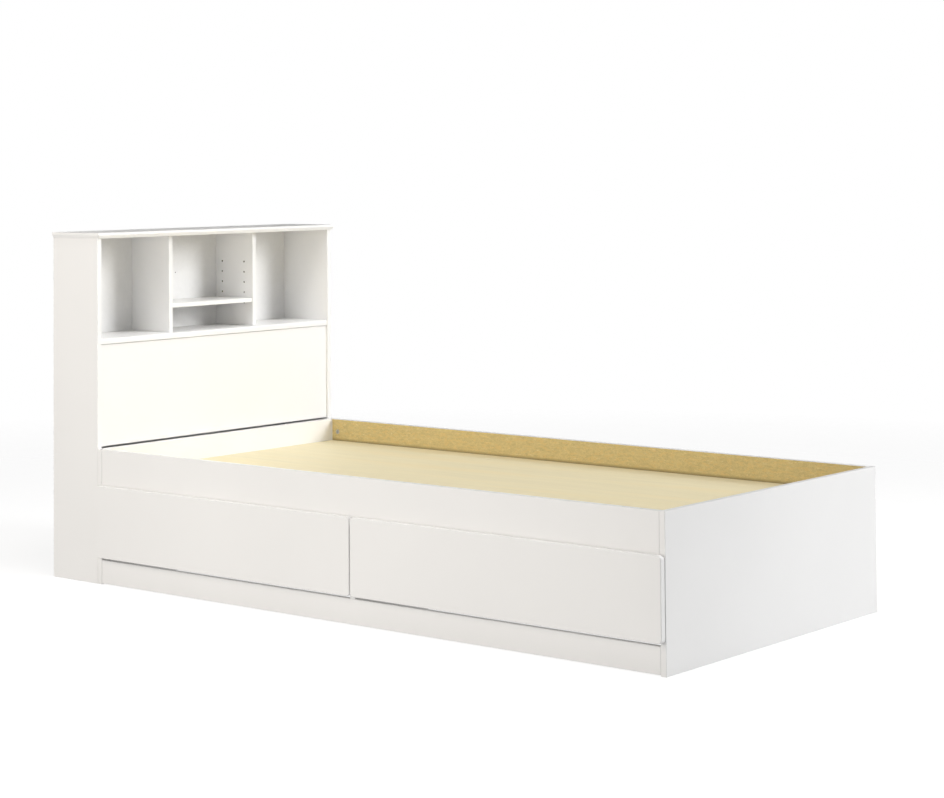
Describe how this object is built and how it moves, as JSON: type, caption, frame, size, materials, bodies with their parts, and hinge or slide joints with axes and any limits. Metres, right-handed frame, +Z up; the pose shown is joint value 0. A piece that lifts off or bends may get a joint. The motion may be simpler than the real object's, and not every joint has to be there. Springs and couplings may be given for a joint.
{
  "type": "bookcase headboard bed",
  "caption": "Single bed in white laminate: box base with side drawers on roller runners, plywood deck, and a bookcase headboard with open bays and an adjustable shelf.",
  "frame": {"origin": "centre of the whole bed's footprint, on the floor", "axes": "+X runs from the headboard to the foot, +Y away from the drawers, +Z up"},
  "size_m": [2.139, 1.05, 1.012],
  "materials": {
    "white_laminate": "white melamine laminate on chipboard, satin with a faint pebble",
    "white_hardboard": "white-faced hardboard, satin",
    "raw_chipboard": "bare sanded chipboard",
    "deck_board": "bare plywood, fine grain along the bed",
    "pine": "bare planed pine",
    "drawer_board": "white foil on chipboard",
    "drawer_hardboard": "white-faced hardboard",
    "coated_steel": "white powder coat on folded sheet steel",
    "steel": "bright zinc plate",
    "zinc": "die-cast zinc",
    "nylon": "white moulded nylon"
  },
  "bodies": {
    "bed_frame": {"Cam_Locks": "zinc", "Centre_Upright": "white_laminate", "Channel_Roller_Pins": "steel", "Deck_Cleat_Far": "pine", "Deck_Cleat_Foot": "pine", "Deck_Cleat_Head": "pine", "Deck_Cleat_Near": "pine", "Deck_Panel_Foot": "deck_board", "Deck_Panel_Head": "deck_board", "Divider_Far": "white_laminate", "Divider_Near": "white_laminate", "Far_Side_Panel": "raw_chipboard", "Fixed_Shelf": "white_laminate", "Foot_Drawer_Channel_Foot": "coated_steel", "Foot_Drawer_Channel_Head": "coated_steel", "Foot_End_Panel": "white_laminate", "Front_Rail": "white_laminate", "Head_Drawer_Channel_Foot": "coated_steel", "Head_Drawer_Channel_Head": "coated_steel", "Head_End_Panel": "white_laminate", "Headboard_Back": "white_hardboard", "Headboard_Front_Panel": "white_laminate", "Headboard_Side_Far": "white_laminate", "Headboard_Side_Near": "white_laminate", "Headboard_Stretcher_High": "white_laminate", "Headboard_Stretcher_Low": "white_laminate", "Headboard_Top": "white_laminate", "Joining_Bolts": "steel", "Long_Support_Foot": "raw_chipboard", "Long_Support_Head": "raw_chipboard", "Plinth": "white_laminate", "Shelf_Pins": "steel"},
    "head_drawer": {"Head_Drawer_Back": "drawer_board", "Head_Drawer_Bottom": "drawer_hardboard", "Head_Drawer_Front": "white_laminate", "Head_Drawer_Rail_Foot": "coated_steel", "Head_Drawer_Rail_Head": "coated_steel", "Head_Drawer_Roller_Pins": "steel", "Head_Drawer_Side_Foot": "drawer_board", "Head_Drawer_Side_Head": "drawer_board"},
    "foot_drawer": {"Foot_Drawer_Back": "drawer_board", "Foot_Drawer_Bottom": "drawer_hardboard", "Foot_Drawer_Front": "white_laminate", "Foot_Drawer_Rail_Foot": "coated_steel", "Foot_Drawer_Rail_Head": "coated_steel", "Foot_Drawer_Roller_Pins": "steel", "Foot_Drawer_Side_Foot": "drawer_board", "Foot_Drawer_Side_Head": "drawer_board"},
    "head_front_rollers": {"Head_Drawer_Front_Rollers": "nylon"},
    "foot_front_rollers": {"Foot_Drawer_Front_Rollers": "nylon"},
    "head_rear_rollers": {"Head_Drawer_Rear_Rollers": "nylon"},
    "foot_rear_rollers": {"Foot_Drawer_Rear_Rollers": "nylon"},
    "adjustable_shelf": {"Adjustable_Shelf": "white_laminate"}
  },
  "joints": [
    {"name": "head_drawer_slide", "type": "slide", "parent": "bed_frame", "child": "head_drawer", "axis": [0, -1, 0], "range_m": [0, 0.36]},
    {"name": "foot_drawer_slide", "type": "slide", "parent": "bed_frame", "child": "foot_drawer", "axis": [0, -1, 0], "range_m": [0, 0.36]},
    {"name": "head_front_roller_spin", "type": "hinge", "parent": "bed_frame", "child": "head_front_rollers", "pos_m": [0, -0.492, 0.0988], "axis": [1, 0, 0], "range_deg": [0, 2063]},
    {"name": "head_rear_roller_spin", "type": "hinge", "parent": "head_drawer", "child": "head_rear_rollers", "pos_m": [0, -0.072, 0.0973], "axis": [1, 0, 0], "range_deg": [0, 1965]},
    {"name": "foot_front_roller_spin", "type": "hinge", "parent": "bed_frame", "child": "foot_front_rollers", "pos_m": [0, -0.492, 0.0988], "axis": [1, 0, 0], "range_deg": [0, 2063]},
    {"name": "foot_rear_roller_spin", "type": "hinge", "parent": "foot_drawer", "child": "foot_rear_rollers", "pos_m": [0, -0.072, 0.0973], "axis": [1, 0, 0], "range_deg": [0, 1965]},
    {"name": "shelf_lift", "type": "slide", "parent": "bed_frame", "child": "adjustable_shelf", "axis": [0, 0, 1], "range_m": [0, 0.128]}
  ],
  "couplings": [
    {"joint": "head_front_roller_spin", "follows": "head_drawer_slide", "rad_per_m": 100},
    {"joint": "head_rear_roller_spin", "follows": "head_drawer_slide", "rad_per_m": 95.238},
    {"joint": "foot_front_roller_spin", "follows": "foot_drawer_slide", "rad_per_m": 100},
    {"joint": "foot_rear_roller_spin", "follows": "foot_drawer_slide", "rad_per_m": 95.238}
  ]
}
